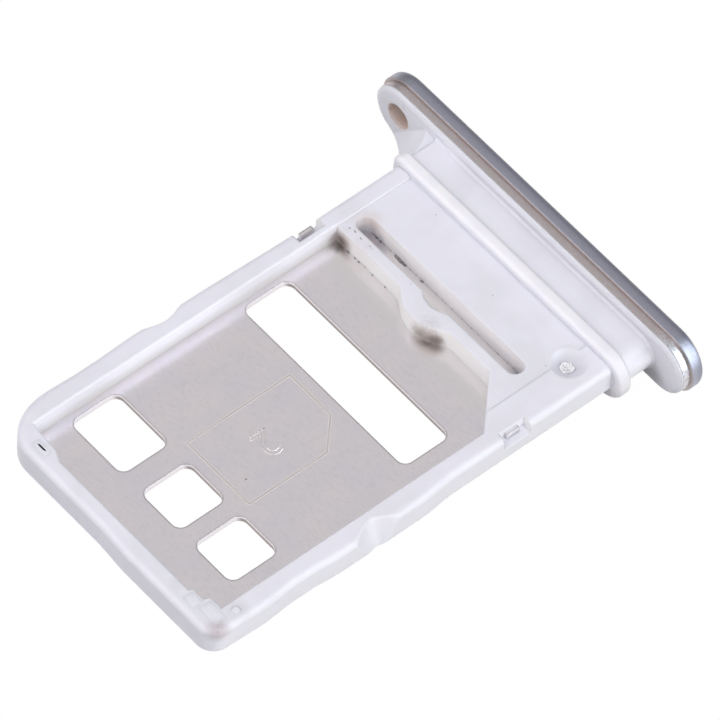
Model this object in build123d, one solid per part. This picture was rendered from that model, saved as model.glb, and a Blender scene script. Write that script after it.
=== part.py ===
"""Tray that carries one small phone card: moulded frame, stamped plate, seal ring and face cap.

Sizes are in millimetres. The tray is drawn from its card seat: x runs from the pocket's tip wall
towards the cap, y is zero on the pocket's far wall and z is zero on the top of the plate.
"""
import os

from build123d import *

# The card, and the play it has in the pocket
CARD_LENGTH = 12.30
CARD_WIDTH = 8.80
CARD_THICKNESS = 0.67
CARD_CUT_CORNER = 1.65
PLAY_LENGTH = 0.30
PLAY_WIDTH = 0.15
PLAY_DEPTH = 0.15
PLAY_CUT_CORNER = 0.05
POCKET_LENGTH = CARD_LENGTH + PLAY_LENGTH
POCKET_WIDTH = CARD_WIDTH + PLAY_WIDTH
POCKET_DEPTH = CARD_THICKNESS + PLAY_DEPTH
POCKET_CUT_CORNER = CARD_CUT_CORNER + PLAY_CUT_CORNER

# Stamped plate under the card
PLATE_THICKNESS = 0.22
PLATE_UNDER_RAIL = 0.25
PLATE_UNDER_DECK = 0.30
PLATE_CORNER = 0.30
WINDOW_CORNER = 0.33
WINDOW_LENGTH = 1.92
WINDOW_FROM_TIP = 1.56
WINDOW_WIDTHS = (2.54, 1.86, 1.85)
WINDOW_STARTS = (0.25, 3.65, 6.17)
BAR_LENGTH = 1.90
BAR_FROM_TIP = 8.54
BAR_START = 0.22
BAR_WIDTH = 7.76

# Walls of the moulded frame
TIP_WALL = 0.58
TIP_SWELL = 0.085
TIP_SWELL_STARTS = 4.30
TIP_SWELL_FULL = 5.50
NEAR_RAIL = 0.65
FAR_RAIL = 0.63
FAR_RAIL_SWELL = 0.10
HEAD_SWELL = 0.11
NEAR_HEAD_ENDS = 8.00
NEAR_TAPER_ENDS = 9.00
FAR_TAPER_ENDS = 11.00
WAIST_NEAR_DEPTH = 0.08
WAIST_FAR_DEPTH = 0.04
WAIST_STARTS = 1.55
WAIST_LENGTH = 2.90
WAIST_FLAT = 1.00
BEND_RADIUS = 4.00
TIP_NEAR_RADIUS = 0.65
TIP_NEAR_TAPER = 0.06
TIP_FAR_LENGTH = 1.85
TIP_FAR_WIDTH = 1.50
TOP_EDGE_RADIUS = 0.22
BOTTOM_EDGE_BEVEL = 0.06
POCKET_RIM_RADIUS = 0.05

# Spring finger between the pocket and the long slot
FINGER_THICKNESS = 0.43
FINGER_BUMP = 0.50
FINGER_BUMP_CHORD = 2.20
FINGER_BUMP_Y = 4.15
FINGER_BUMP_BLEND = 0.75
FINGER_HOLLOW = 0.22
FINGER_HOLLOW_CHORD = 1.15
FINGER_HOLLOW_BLEND = 0.25
SLOT_WIDTH = 0.64
SLOT_START = 0.22
SLOT_LENGTH = 7.69

# Deck between the slot and the neck
DECK_LENGTH = 1.93
DECK_DROP_FAR = 0.10
DECK_DROP_NEAR = 0.03
DECK_NEAR_EDGE = 8.40
GATE_Y = 8.55
GATE_FROM_NECK = 0.88
GATE_RADIUS = 0.58
GATE_DEPTH = 0.20

# Click detents in both long sides
DETENT_NEAR_X = 6.05
DETENT_FAR_X = 6.10
DETENT_TIP_REACH = 1.00
DETENT_CAP_REACH = 1.25
DETENT_NEAR_DEPTH = 0.44
DETENT_FAR_DEPTH = 0.27
DETENT_ENTRY_SLOPE = 0.55
DETENT_LEAN = 0.33
DETENT_EDGE_RADIUS = 0.06

# Notches where the plate's carrier prongs come out of the rails
NOTCH_FROM_FINGER = 0.85
NOTCH_LENGTH = 1.06
NOTCH_WALL_NEAR = 0.31
NOTCH_WALL_FAR = 0.20
NOTCH_FLOOR = 0.46
NOTCH_FALL = 0.20
PRONG_WIDTH = 0.51
PRONG_THICKNESS = 0.16
PRONG_TOP = 0.62
PRONG_NEAR_FACE = 0.42
PRONG_FAR_FACE = 0.58

# Locating pads at the tip end of the pocket
FAR_PAD_WIDTH = 1.65
FAR_PAD_REACH = 0.28
NEAR_PAD_WIDTH = 1.15
NEAR_PAD_REACH = 0.34
NEAR_PAD_STEP = 0.13
PIP_RADIUS = 0.14
PIP_HEIGHT = 0.04

# Neck, flange, seal and cap, all centred on one level
AXIS_LEVEL = 0.30
NECK_LENGTH = 1.515
NECK_HEIGHT = 1.36
NECK_FAR_REACH = 0.50
NECK_NEAR_REACH = 0.93
NECK_FOOT_BEVEL = 0.08
SEAL_WIDTH = 0.46
SEAL_TOP_PROUD = 0.17
SEAL_FOOT_PROUD = 0.43
SEAL_NEAR_PROUD = 0.22
SEAL_FAR_PROUD = 0.38
SEAL_SEAT = 0.12
SEAL_EDGE_RADIUS = 0.14
SEAL_FAR_CORNER = 0.45
FLANGE_THICKNESS = 0.13
FLANGE_RADIUS = 1.08
FLANGE_EDGE_BEVEL = 0.07
WEB_FOOT_REACH = 2.25
WEB_TOP_REACH = 0.65
WEB_START = 0.50
WEB_RISE = 0.62
WEB_DROP = 1.00
WEB_TOP_START = 0.02
WEB_ROOT = 0.20
WEB_CURVE = ((0, 0), (0.44, 0.29), (0.71, 0.53), (1, 1))
EJECT_RADIUS = 0.48
EJECT_FROM_POCKET = 2.32
CAP_NEAR_REACH = 1.12
BAND_LENGTH = 0.255
BAND_RADIUS = 1.09
RIM_LENGTH = 0.55
RIM_RADIUS = 1.20
RIM_INNER_BEVEL = 0.04
RIM_OUTER_RADIUS = 0.24

# Stations along the tray
finger_x = POCKET_LENGTH
slot_x = finger_x + FINGER_THICKNESS
deck_x = slot_x + SLOT_WIDTH
neck_x = deck_x + DECK_LENGTH
flange_x = neck_x + NECK_LENGTH
band_x = flange_x + FLANGE_THICKNESS
rim_x = band_x + BAND_LENGTH
face_x = rim_x + RIM_LENGTH
near_wall = -POCKET_WIDTH
near_side = near_wall - NEAR_RAIL
far_side = FAR_RAIL
top = POCKET_DEPTH
bottom = -PLATE_THICKNESS
notch_x = finger_x - NOTCH_FROM_FINGER
cap_far_y = EJECT_FROM_POCKET
cap_near_y = near_wall - CAP_NEAR_REACH


def pill(radius, near_y=cap_near_y, far_y=cap_far_y):
    """Round-ended outline across the tray, centred on the cap's level."""
    ends = Pos(near_y, 0) * Circle(radius) + Pos(far_y, 0) * Circle(radius)
    middle = Pos((near_y + far_y) / 2, 0) * Rectangle(far_y - near_y, 2 * radius)
    return middle + ends


def across(sketch, x, length):
    """Extrude an outline drawn in y and z along the tray, from station x."""
    plane = Plane(origin=(x, 0, AXIS_LEVEL), x_dir=(0, 1, 0), z_dir=(1, 0, 0))
    return extrude(plane * sketch, length)


def upright(points, x, length):
    """Extrude a closed y and z polygon along the tray, from station x."""
    plane = Plane(origin=(x, 0, 0), x_dir=(0, 1, 0), z_dir=(1, 0, 0))
    return extrude(plane * make_face(Polyline(*points, close=True)), length)


def chord_radius(chord, rise):
    """Radius of the arc with this chord and rise."""
    return (chord * chord / 4 + rise * rise) / (2 * rise)


# Solid body: a waisted head at the tip, then straight rails to the neck
near_head = near_side - HEAD_SWELL
far_head = far_side + HEAD_SWELL
tip_x = -TIP_WALL - TIP_SWELL
corner_x = TIP_FAR_LENGTH - TIP_WALL
corner_y = far_head - TIP_FAR_WIDTH
waist_slope = (WAIST_LENGTH - WAIST_FLAT) / 2
waist_in = WAIST_STARTS + waist_slope
waist_out = waist_in + WAIST_FLAT
waist_ends = WAIST_STARTS + WAIST_LENGTH
far_detent_ends = DETENT_FAR_X + DETENT_CAP_REACH
sides = Polyline(
    (-TIP_WALL, corner_y),
    (-TIP_WALL, -TIP_SWELL_STARTS),
    (tip_x, -TIP_SWELL_FULL),
    (tip_x, near_head + TIP_NEAR_TAPER),
    (WAIST_STARTS, near_head),
    (waist_in, near_head + WAIST_NEAR_DEPTH),
    (waist_out, near_head + WAIST_NEAR_DEPTH),
    (waist_ends, near_head),
    (NEAR_HEAD_ENDS, near_head),
    (NEAR_TAPER_ENDS, near_side),
    (neck_x, near_side),
    (neck_x, far_side),
    (FAR_TAPER_ENDS, far_side),
    (far_detent_ends, far_side + FAR_RAIL_SWELL),
    (waist_ends, far_head),
    (waist_out, far_head - WAIST_FAR_DEPTH),
    (waist_in, far_head - WAIST_FAR_DEPTH),
    (WAIST_STARTS, far_head),
    (corner_x, far_head),
)
corner = EllipticalCenterArc((corner_x, corner_y), TIP_FAR_LENGTH, TIP_FAR_WIDTH, 90, arc_size=90)
body_plan = make_face(sides + corner)
body_plan = fillet(body_plan.vertices().group_by(Axis.X)[0].sort_by(Axis.Y)[0], TIP_NEAR_RADIUS)
bends = body_plan.vertices().filter_by(
    lambda v: WAIST_STARTS - 0.01 < v.X < FAR_TAPER_ENDS + 0.01
)
body_plan = fillet(bends, BEND_RADIUS)
body = Pos(0, 0, bottom) * extrude(body_plan, top - bottom)
outline = body.edges().filter_by(lambda e: e.center().X < neck_x - 0.01)
body = fillet(outline.group_by(Axis.Z)[-1], TOP_EDGE_RADIUS)
outline = body.edges().filter_by(lambda e: e.center().X < neck_x - 0.01)
body = chamfer(outline.group_by(Axis.Z)[0], BOTTOM_EDGE_BEVEL)


def detent(x, start_y, end_y, depth, sign):
    """Scoop that is deepest at the top of a side and runs out at its foot."""
    start = (x - DETENT_TIP_REACH, start_y)
    end = (x + DETENT_CAP_REACH, end_y)
    deepest = (x, start_y - sign * depth)
    entry = (1, -DETENT_ENTRY_SLOPE * sign)
    mouth = Spline(start, deepest, end, tangents=[entry, (1, 0)])
    lid = Polyline(end, (end[0], end_y + sign), (start[0], start_y + sign), start)
    plan = Pos(0, 0, top) * make_face(mouth + lid)
    lean = Vector(0, sign * DETENT_LEAN, -1)
    return extrude(plan, (top - bottom) * lean.length, dir=lean)


body -= detent(DETENT_NEAR_X, near_head, near_head, DETENT_NEAR_DEPTH, -1)
body -= detent(DETENT_FAR_X, far_head, far_side + FAR_RAIL_SWELL, DETENT_FAR_DEPTH, 1)
lips = body.edges().filter_by(GeomType.BSPLINE).filter_by_position(Axis.Z, 0.85 * top, top)
body = fillet(lips, DETENT_EDGE_RADIUS)

# Pocket with a cut corner, narrowed by the locating pads and by the bump of the spring finger
pocket_plan = make_face(
    Polyline(
        (0, 0),
        (0, near_wall),
        (finger_x - POCKET_CUT_CORNER, near_wall),
        (finger_x, near_wall + POCKET_CUT_CORNER),
        (finger_x, 0),
        close=True,
    )
)
bump_radius = chord_radius(FINGER_BUMP_CHORD, FINGER_BUMP)
pocket_plan -= Pos(finger_x - FINGER_BUMP + bump_radius, -FINGER_BUMP_Y) * Circle(bump_radius)
feet = pocket_plan.vertices().filter_by(
    lambda v: abs(v.X - finger_x) < 0.01 and abs(v.Y + FINGER_BUMP_Y) < FINGER_BUMP_CHORD
)
pocket_plan = fillet(feet, FINGER_BUMP_BLEND)
pocket_plan -= make_face(
    Polyline(
        (0, 0),
        (FAR_PAD_REACH, 0),
        (0.65 * FAR_PAD_REACH, -0.75 * FAR_PAD_WIDTH),
        (0, -FAR_PAD_WIDTH),
        close=True,
    )
)
pad_y = near_wall + NEAR_PAD_WIDTH
pocket_plan -= make_face(
    Polyline(
        (0, pad_y),
        (NEAR_PAD_STEP, pad_y - 0.05),
        (NEAR_PAD_STEP, near_wall + 0.52 * NEAR_PAD_WIDTH),
        (NEAR_PAD_REACH, near_wall + 0.45 * NEAR_PAD_WIDTH),
        (NEAR_PAD_REACH, near_wall),
        (0, near_wall),
        close=True,
    )
)
body -= extrude(pocket_plan, top + 1)
rim = body.faces().sort_by(Axis.Z)[-1].inner_wires()[0].edges()
body = fillet(rim, POCKET_RIM_RADIUS)

# Small round witness pip on the near rail, beside the tip corner
pip_x = NEAR_PAD_REACH + 2 * PIP_RADIUS
pip_y = near_wall - NEAR_RAIL * 0.55
body += Pos(pip_x, pip_y, top) * Cylinder(PIP_RADIUS, 2 * PIP_HEIGHT)

# Long slot behind the finger, hollowed where the finger bows into the pocket
slot_mid_x = slot_x + SLOT_WIDTH / 2
slot_mid_y = -SLOT_START - SLOT_LENGTH / 2
slot_plan = Pos(slot_mid_x, slot_mid_y) * Rot(0, 0, 90) * SlotOverall(SLOT_LENGTH, SLOT_WIDTH)
hollow_radius = chord_radius(FINGER_HOLLOW_CHORD, FINGER_HOLLOW)
hollow = Pos(slot_x - FINGER_HOLLOW + hollow_radius, -FINGER_BUMP_Y) * Circle(hollow_radius)
hollow &= Pos(slot_mid_x - SLOT_WIDTH, -FINGER_BUMP_Y) * Rectangle(2 * SLOT_WIDTH, 2 * hollow_radius)
slot_plan += hollow
hips = slot_plan.vertices().filter_by(
    lambda v: abs(v.X - slot_x) < 0.01 and abs(v.Y + FINGER_BUMP_Y) < FINGER_HOLLOW_CHORD
)
slot_plan = fillet(hips, FINGER_HOLLOW_BLEND)
body -= extrude(slot_plan, top + 1)

# Lower deck that carries the finger, the slot and the foot of the neck
body -= upright(
    (
        (0, top - DECK_DROP_FAR),
        (0, top + 1),
        (-DECK_NEAR_EDGE, top + 1),
        (-DECK_NEAR_EDGE, top - DECK_DROP_NEAR),
    ),
    finger_x - POCKET_CUT_CORNER,
    neck_x - finger_x + POCKET_CUT_CORNER,
)
gate_sphere = chord_radius(2 * GATE_RADIUS, GATE_DEPTH)
gate_z = top - DECK_DROP_NEAR - GATE_DEPTH + gate_sphere
body -= Pos(neck_x - GATE_FROM_NECK, -GATE_Y, gate_z) * Sphere(gate_sphere)

# Notches in the rails, with floors that fall outwards
for wall, sign in ((near_wall - NOTCH_WALL_NEAR, -1), (NOTCH_WALL_FAR, 1)):
    body -= upright(
        (
            (wall, NOTCH_FLOOR),
            (wall, top + 1),
            (wall + sign, top + 1),
            (wall + sign, NOTCH_FLOOR - NOTCH_FALL / NEAR_RAIL),
        ),
        notch_x - NOTCH_LENGTH / 2,
        NOTCH_LENGTH,
    )

# Neck with one round end and one square end, and the flange that backs the cap
neck_radius = NECK_HEIGHT / 2
neck_near_y = near_wall - NECK_NEAR_REACH + neck_radius
neck_far_y = NECK_FAR_REACH


def neck_plan(grow):
    """Outline of the neck in y and z, grown or shrunk evenly."""
    radius = neck_radius + grow
    length = neck_far_y + grow - neck_near_y
    bar = Pos(neck_near_y + length / 2, 0) * Rectangle(length, 2 * radius)
    return bar + Pos(neck_near_y, 0) * Circle(radius)


neck = across(neck_plan(0), neck_x, NECK_LENGTH + FLANGE_THICKNESS / 2)
flange = across(pill(FLANGE_RADIUS), flange_x, FLANGE_THICKNESS)
flange = chamfer(flange.edges().group_by(Axis.X)[0], FLANGE_EDGE_BEVEL)
frame = body + neck + flange
foot = frame.edges().filter_by_position(Axis.X, flange_x - 0.001, flange_x + 0.001)
frame = chamfer(foot, NECK_FOOT_BEVEL)

# Gusset that sweeps from the seal to the ear, wide at its foot and narrow at its top
seal_end = neck_x + SEAL_WIDTH
web_back = flange_x + FLANGE_THICKNESS / 2


def web_plan(start, reach):
    """Gusset in x and y at one level, curving from the neck out along the ear."""
    run = web_back - seal_end
    near_y = neck_far_y + start
    rise = reach - start
    root_y = neck_far_y - WEB_ROOT
    points = [(seal_end + u * run, near_y + v * rise) for u, v in WEB_CURVE]
    back = Polyline(points[-1], (web_back, root_y), (seal_end, root_y), points[0])
    return make_face(Spline(*points) + back)


web_foot = Pos(0, 0, AXIS_LEVEL - WEB_DROP) * web_plan(WEB_START, WEB_FOOT_REACH)
web_top = Pos(0, 0, AXIS_LEVEL + WEB_RISE) * web_plan(WEB_TOP_START, WEB_TOP_REACH)
frame += loft([web_foot, web_top], ruled=True)

# Seal ring in its groove at the foot of the neck, fuller on its underside
seal_radius = neck_radius + (SEAL_TOP_PROUD + SEAL_FOOT_PROUD) / 2
seal_drop = (SEAL_FOOT_PROUD - SEAL_TOP_PROUD) / 2
seal_near_y = near_wall - NECK_NEAR_REACH - SEAL_NEAR_PROUD + seal_radius
seal_length = neck_far_y + SEAL_FAR_PROUD - seal_near_y
seal_plan = Pos(seal_near_y + seal_length / 2, 0) * Rectangle(seal_length, 2 * seal_radius)
seal_plan += Pos(seal_near_y, 0) * Circle(seal_radius)
seal_plan = Pos(0, -seal_drop) * seal_plan
seal_plan = fillet(seal_plan.vertices().group_by(Axis.X)[-1], SEAL_FAR_CORNER)
seal = across(seal_plan, neck_x, SEAL_WIDTH)
seal = fillet(seal.edges().group_by(Axis.X)[0], SEAL_EDGE_RADIUS)
seal = fillet(seal.edges().group_by(Axis.X)[-1], SEAL_EDGE_RADIUS)
seal_ring = seal - across(neck_plan(-SEAL_SEAT), neck_x, SEAL_WIDTH)
frame -= across(neck_plan(2 * SEAL_FOOT_PROUD) - neck_plan(-SEAL_SEAT), neck_x, SEAL_WIDTH)

# Stamped plate: one sheet with windows, and a carrier prong bent up into each rail
plate_length = deck_x + PLATE_UNDER_DECK + PLATE_UNDER_RAIL
plate_width = POCKET_WIDTH + 2 * PLATE_UNDER_RAIL
plate = Pos(-PLATE_UNDER_RAIL, PLATE_UNDER_RAIL, bottom) * extrude(
    RectangleRounded(plate_length, plate_width, PLATE_CORNER, align=(Align.MIN, Align.MAX)),
    PLATE_THICKNESS,
)
for face, sign in ((PRONG_FAR_FACE, 1), (near_wall - PRONG_NEAR_FACE, -1)):
    inner = face - sign * PRONG_THICKNESS
    root = face - sign * (PRONG_FAR_FACE + PRONG_THICKNESS)
    plate += upright(
        (
            (root, bottom),
            (face, bottom),
            (face, PRONG_TOP),
            (inner, PRONG_TOP),
            (inner, 0),
            (root, 0),
        ),
        notch_x - PRONG_WIDTH / 2,
        PRONG_WIDTH,
    )
frame -= plate


def window(x, y, length, width):
    """Opening in the plate with its far tip-side corner at x and minus y."""
    plan = RectangleRounded(length, width, WINDOW_CORNER, align=(Align.MIN, Align.MAX))
    return Pos(x, -y, bottom) * extrude(plan, PLATE_THICKNESS)


for start, width in zip(WINDOW_STARTS, WINDOW_WIDTHS):
    plate -= window(WINDOW_FROM_TIP, start, WINDOW_LENGTH, width)
plate -= window(BAR_FROM_TIP, BAR_START, BAR_LENGTH, BAR_WIDTH)

# Metal cap: a band against the flange and a wider rim outside it
band = across(pill(BAND_RADIUS), band_x, BAND_LENGTH)
rim = across(pill(RIM_RADIUS), rim_x, RIM_LENGTH)
rim = chamfer(rim.edges().group_by(Axis.X)[0], RIM_INNER_BEVEL)
rim = fillet(rim.edges().group_by(Axis.X)[-1], RIM_OUTER_RADIUS)
eject_hole = across(Pos(cap_far_y, 0) * Circle(EJECT_RADIUS), seal_end, face_x - seal_end)
face_cap = band + rim - eject_hole
frame -= eject_hole

# Lay the tray on its own frame: middle of the outline, lowest point at zero
shift = Pos(
    (-tip_x - face_x) / 2,
    -(cap_far_y + cap_near_y) / 2,
    RIM_RADIUS - AXIS_LEVEL,
)
os.makedirs("parts", exist_ok=True)
export_step(shift * frame, "parts/tray_frame.step")
export_step(shift * plate, "parts/card_plate.step")
export_step(shift * seal_ring, "parts/seal_ring.step")
export_step(shift * face_cap, "parts/face_cap.step")
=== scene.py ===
# %% [markdown]
# # A phone's card tray, dressed for a studio photograph
#
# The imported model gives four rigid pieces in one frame: the white moulded frame, the stamped steel
# plate, the silicone seal ring and the metal face cap. This lesson gives each of them a finish
# built from nodes, adds the marks that are too fine for solids, and sets up the light and the
# camera. Lengths are in metres, as in the frame, but a tray this small is easier to read in
# millimetres, so `MM` turns one into the other.

# %% Load the frame
import math

import bpy
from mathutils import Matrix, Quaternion, Vector


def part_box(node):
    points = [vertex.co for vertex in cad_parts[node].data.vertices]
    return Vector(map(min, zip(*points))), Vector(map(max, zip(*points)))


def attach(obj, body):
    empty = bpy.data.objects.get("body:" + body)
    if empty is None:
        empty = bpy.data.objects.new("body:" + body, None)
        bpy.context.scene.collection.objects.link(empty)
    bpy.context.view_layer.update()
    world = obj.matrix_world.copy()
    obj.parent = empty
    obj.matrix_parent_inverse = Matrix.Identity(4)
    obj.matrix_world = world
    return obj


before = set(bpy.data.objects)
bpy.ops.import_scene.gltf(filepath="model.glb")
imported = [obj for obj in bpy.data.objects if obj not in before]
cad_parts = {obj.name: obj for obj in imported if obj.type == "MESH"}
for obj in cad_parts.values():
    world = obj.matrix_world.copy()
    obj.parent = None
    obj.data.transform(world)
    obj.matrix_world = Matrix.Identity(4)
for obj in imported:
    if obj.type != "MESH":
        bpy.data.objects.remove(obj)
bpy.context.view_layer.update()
MM = 0.001

# %% [markdown]
# ## Where things are
#
# The photograph was measured from the card seat: x from the pocket's tip wall towards the cap, y
# from the pocket's far wall, z from the top of the plate. `seat()` turns such a point into the
# frame, and `from_seat()` does it for distances along one axis. Both find the seat from the plate's
# own box, so they still hold when the solids change size.

# %% Card seat
PLATE_THICKNESS = 0.22
PLATE_UNDER_RAIL = 0.25
FAR_PRONG_FACE = 0.58
plate_low, plate_high = (Vector(corner_shade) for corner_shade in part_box("card_plate"))
seat_origin = Vector((
    plate_low.x + PLATE_UNDER_RAIL * MM,
    plate_high.y - FAR_PRONG_FACE * MM,
    plate_low.z + PLATE_THICKNESS * MM,
))


def seat(x, y, z=0.0):
    """Point given in millimetres from the card seat, in the frame's metres."""
    return seat_origin + Vector((x, y, z)) * MM


def from_seat(axis, *distances):
    """Places on one axis, given in millimetres from the card seat, in the frame's metres."""
    return [seat_origin["xyz".index(axis)] + distance * MM for distance in distances]


print("card seat in mm:", [round(v / MM, 3) for v in seat_origin])

# %% [markdown]
# ## Effects that several finishes share
#
# Small objects show their making: edges are never quite sharp and every surface has a fine grain,
# and here crevices are painted darker as painted shade. Each of these is one node group, placed in
# each material with its own values, so that a change to the effect reaches all the finishes. A group
# hands out only masks, heights and normals. The shaders stay in the materials.


# %% Helpers for node groups
def effect_group(name, inputs, outputs):
    """Empty shader node group with named sockets, as (tree, inputs, outputs)."""
    tree = bpy.data.node_groups.new(name, "ShaderNodeTree")
    for socket_name, kind, default in inputs:
        socket = tree.interface.new_socket(socket_name, in_out="INPUT", socket_type=kind)
        if default is not None:
            socket.default_value = default
    for socket_name, kind in outputs:
        tree.interface.new_socket(socket_name, in_out="OUTPUT", socket_type=kind)
    return tree, tree.nodes.new("NodeGroupInput"), tree.nodes.new("NodeGroupOutput")


def math_node(tree, operation, *values, clamp=False):
    """Math node whose values are numbers or sockets. Returns its result socket."""
    node = tree.nodes.new("ShaderNodeMath")
    node.operation = operation
    node.use_clamp = clamp
    for socket, value in zip(node.inputs, values):
        if isinstance(value, bpy.types.NodeSocket):
            tree.links.new(value, socket)
        else:
            socket.default_value = value
    return node.outputs[0]


FLOAT, VECTOR = "NodeSocketFloat", "NodeSocketVector"

# %% [markdown]
# `crevice` is dark where the surface is closed in by its neighbours: it asks how much of the
# surroundings a point sees, and turns the answer into a mask for painted shade. `Reach` is how far
# it looks, `Onset` how closed in a point must be before the painted shade starts, and `Full` where
# it is complete.

# %% Crevice group
crevice, group_in, group_out = effect_group(
    "crevice",
    (("Reach", FLOAT, 0.4 * MM), ("Onset", FLOAT, 0.25), ("Full", FLOAT, 0.8)),
    (("Mask", FLOAT),),
)
closed = crevice.nodes.new("ShaderNodeAmbientOcclusion")
closed.samples = 4
crevice.links.new(group_in.outputs["Reach"], closed.inputs["Distance"])
hidden = math_node(crevice, "SUBTRACT", 1.0, closed.outputs["AO"])
ramp = crevice.nodes.new("ShaderNodeMapRange")
ramp.interpolation_type = "SMOOTHSTEP"
crevice.links.new(hidden, ramp.inputs["Value"])
crevice.links.new(group_in.outputs["Onset"], ramp.inputs["From Min"])
crevice.links.new(group_in.outputs["Full"], ramp.inputs["From Max"])
crevice.links.new(ramp.outputs["Result"], group_out.inputs["Mask"])
print("group", crevice.name)

# %% [markdown]
# `round_edges` bends the normal near an edge, as the small radius of a mould or of a tumbled metal
# part does, and `Bend` tells by how much.

# %% Edge group
round_edges, group_in, group_out = effect_group(
    "round_edges", (("Radius", FLOAT, 0.05 * MM),), (("Normal", VECTOR), ("Bend", FLOAT))
)
bevel = round_edges.nodes.new("ShaderNodeBevel")
bevel.samples = 4
round_edges.links.new(group_in.outputs["Radius"], bevel.inputs["Radius"])
round_edges.links.new(bevel.outputs["Normal"], group_out.inputs["Normal"])
flat = round_edges.nodes.new("ShaderNodeNewGeometry")
agree = round_edges.nodes.new("ShaderNodeVectorMath")
agree.operation = "DOT_PRODUCT"
round_edges.links.new(bevel.outputs["Normal"], agree.inputs[0])
round_edges.links.new(flat.outputs["Normal"], agree.inputs[1])
bend = math_node(round_edges, "SUBTRACT", 1.0, agree.outputs["Value"])
round_edges.links.new(bend, group_out.inputs["Bend"])
print("group", round_edges.name)

# %% [markdown]
# `grain` is a fine noise on the object's own coordinates. Its `Stretch` draws the noise out along
# an axis, for metal that was rolled or brushed.

# %% Grain group
grain, group_in, group_out = effect_group(
    "grain",
    (("Size", FLOAT, 0.1 * MM), ("Stretch", VECTOR, (1.0, 1.0, 1.0)), ("Detail", FLOAT, 4.0)),
    (("Height", FLOAT),),
)
place = grain.nodes.new("ShaderNodeTexCoord")
squeeze = grain.nodes.new("ShaderNodeVectorMath")
squeeze.operation = "DIVIDE"
grain.links.new(place.outputs["Object"], squeeze.inputs[0])
grain.links.new(group_in.outputs["Stretch"], squeeze.inputs[1])
noise = grain.nodes.new("ShaderNodeTexNoise")
grain.links.new(squeeze.outputs["Vector"], noise.inputs["Vector"])
scale = math_node(grain, "DIVIDE", 1.0, group_in.outputs["Size"])
grain.links.new(scale, noise.inputs["Scale"])
grain.links.new(group_in.outputs["Detail"], noise.inputs["Detail"])
grain.links.new(noise.outputs["Fac"], group_out.inputs["Height"])
print("group", grain.name)

# %% [markdown]
# `spot` is a soft-edged round mark about one point, for stains and for painted shade. Its rim is
# pushed in and out by a noise, so that no mark is a perfect circle.

# %% Spot group
RIM_NOISE = 0.12
spot, group_in, group_out = effect_group(
    "spot",
    (
        ("Centre", VECTOR, None),
        ("Inner", FLOAT, 0.0),
        ("Outer", FLOAT, 0.3 * MM),
        ("Ragged", FLOAT, 0.3),
    ),
    (("Mask", FLOAT),),
)
place = spot.nodes.new("ShaderNodeTexCoord")
away_node = spot.nodes.new("ShaderNodeVectorMath")
away_node.operation = "DISTANCE"
spot.links.new(place.outputs["Object"], away_node.inputs[0])
spot.links.new(group_in.outputs["Centre"], away_node.inputs[1])
noise = spot.nodes.new("ShaderNodeTexNoise")
noise.inputs["Scale"].default_value = 1 / (RIM_NOISE * MM)
spot.links.new(place.outputs["Object"], noise.inputs["Vector"])
push = math_node(spot, "SUBTRACT", noise.outputs["Fac"], 0.5)
push = math_node(spot, "MULTIPLY", push, group_in.outputs["Ragged"])
push = math_node(spot, "MULTIPLY", push, group_in.outputs["Outer"])
ragged = math_node(spot, "ADD", away_node.outputs["Value"], push)
fade = spot.nodes.new("ShaderNodeMapRange")
fade.interpolation_type = "SMOOTHSTEP"
fade.inputs["To Min"].default_value = 1.0
fade.inputs["To Max"].default_value = 0.0
spot.links.new(ragged, fade.inputs["Value"])
spot.links.new(group_in.outputs["Inner"], fade.inputs["From Min"])
spot.links.new(group_in.outputs["Outer"], fade.inputs["From Max"])
spot.links.new(fade.outputs["Result"], group_out.inputs["Mask"])
print("group", spot.name)

# %% [markdown]
# ## Helpers for materials
#
# A material here is a Principled shader with its plain numbers on its own sockets. The first
# helpers make one and place the effects in it.


# %% Material helpers
def new_material(name, **plain):
    """Principled material with the plain values on its sockets, as (material, tree, shader)."""
    material = bpy.data.materials.new(name)
    material.use_nodes = True
    tree = material.node_tree
    shader = tree.nodes["Principled BSDF"]
    for socket, value in plain.items():
        shader.inputs[socket.replace("_", " ")].default_value = value
    return material, tree, shader


def place_group(tree, group, **values):
    """Effect group in a material, with its own values."""
    node = tree.nodes.new("ShaderNodeGroup")
    node.node_tree = group
    for socket, value in values.items():
        node.inputs[socket].default_value = value
    return node


def grain_height(tree, size, detail, stretch=(1.0, 1.0, 1.0)):
    """Height of a grain of this size in millimetres."""
    node = place_group(tree, grain, Size=size * MM, Detail=detail, Stretch=stretch)
    return node.outputs["Height"]


def crevice_mask(tree, reach, onset, full):
    """Mask of the places that are closed in, looking this many millimetres far."""
    return place_group(tree, crevice, Reach=reach * MM, Onset=onset, Full=full).outputs["Mask"]


# %% [markdown]
# Colours are mixed in layers: a ground colour, then one layer for each mask. A mask comes from an
# effect, from a place on the tray or from the way a face is turned, and `spread()` sets where it
# begins and where it is complete. A normal whose share along an axis lies between the numbers of
# `TIPWARDS` and its like is on the way to being turned there.

# %% Layer helpers
PLACE, NORMAL = ("ShaderNodeTexCoord", "Object"), ("ShaderNodeNewGeometry", "Normal")
TIPWARDS, NEARWARDS = (-0.8, -0.4), (-0.95, -0.75)
UPWARDS, CAPWARDS = (0.5, 0.9), (0.75, 0.97)
SPOT_RAGGED = 0.35


def axes(tree, node_type, socket):
    """Sockets X, Y and Z of a place or a normal."""
    source = tree.nodes.new(node_type)
    split = tree.nodes.new("ShaderNodeSeparateXYZ")
    tree.links.new(source.outputs[socket], split.inputs[0])
    return split.outputs


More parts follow.
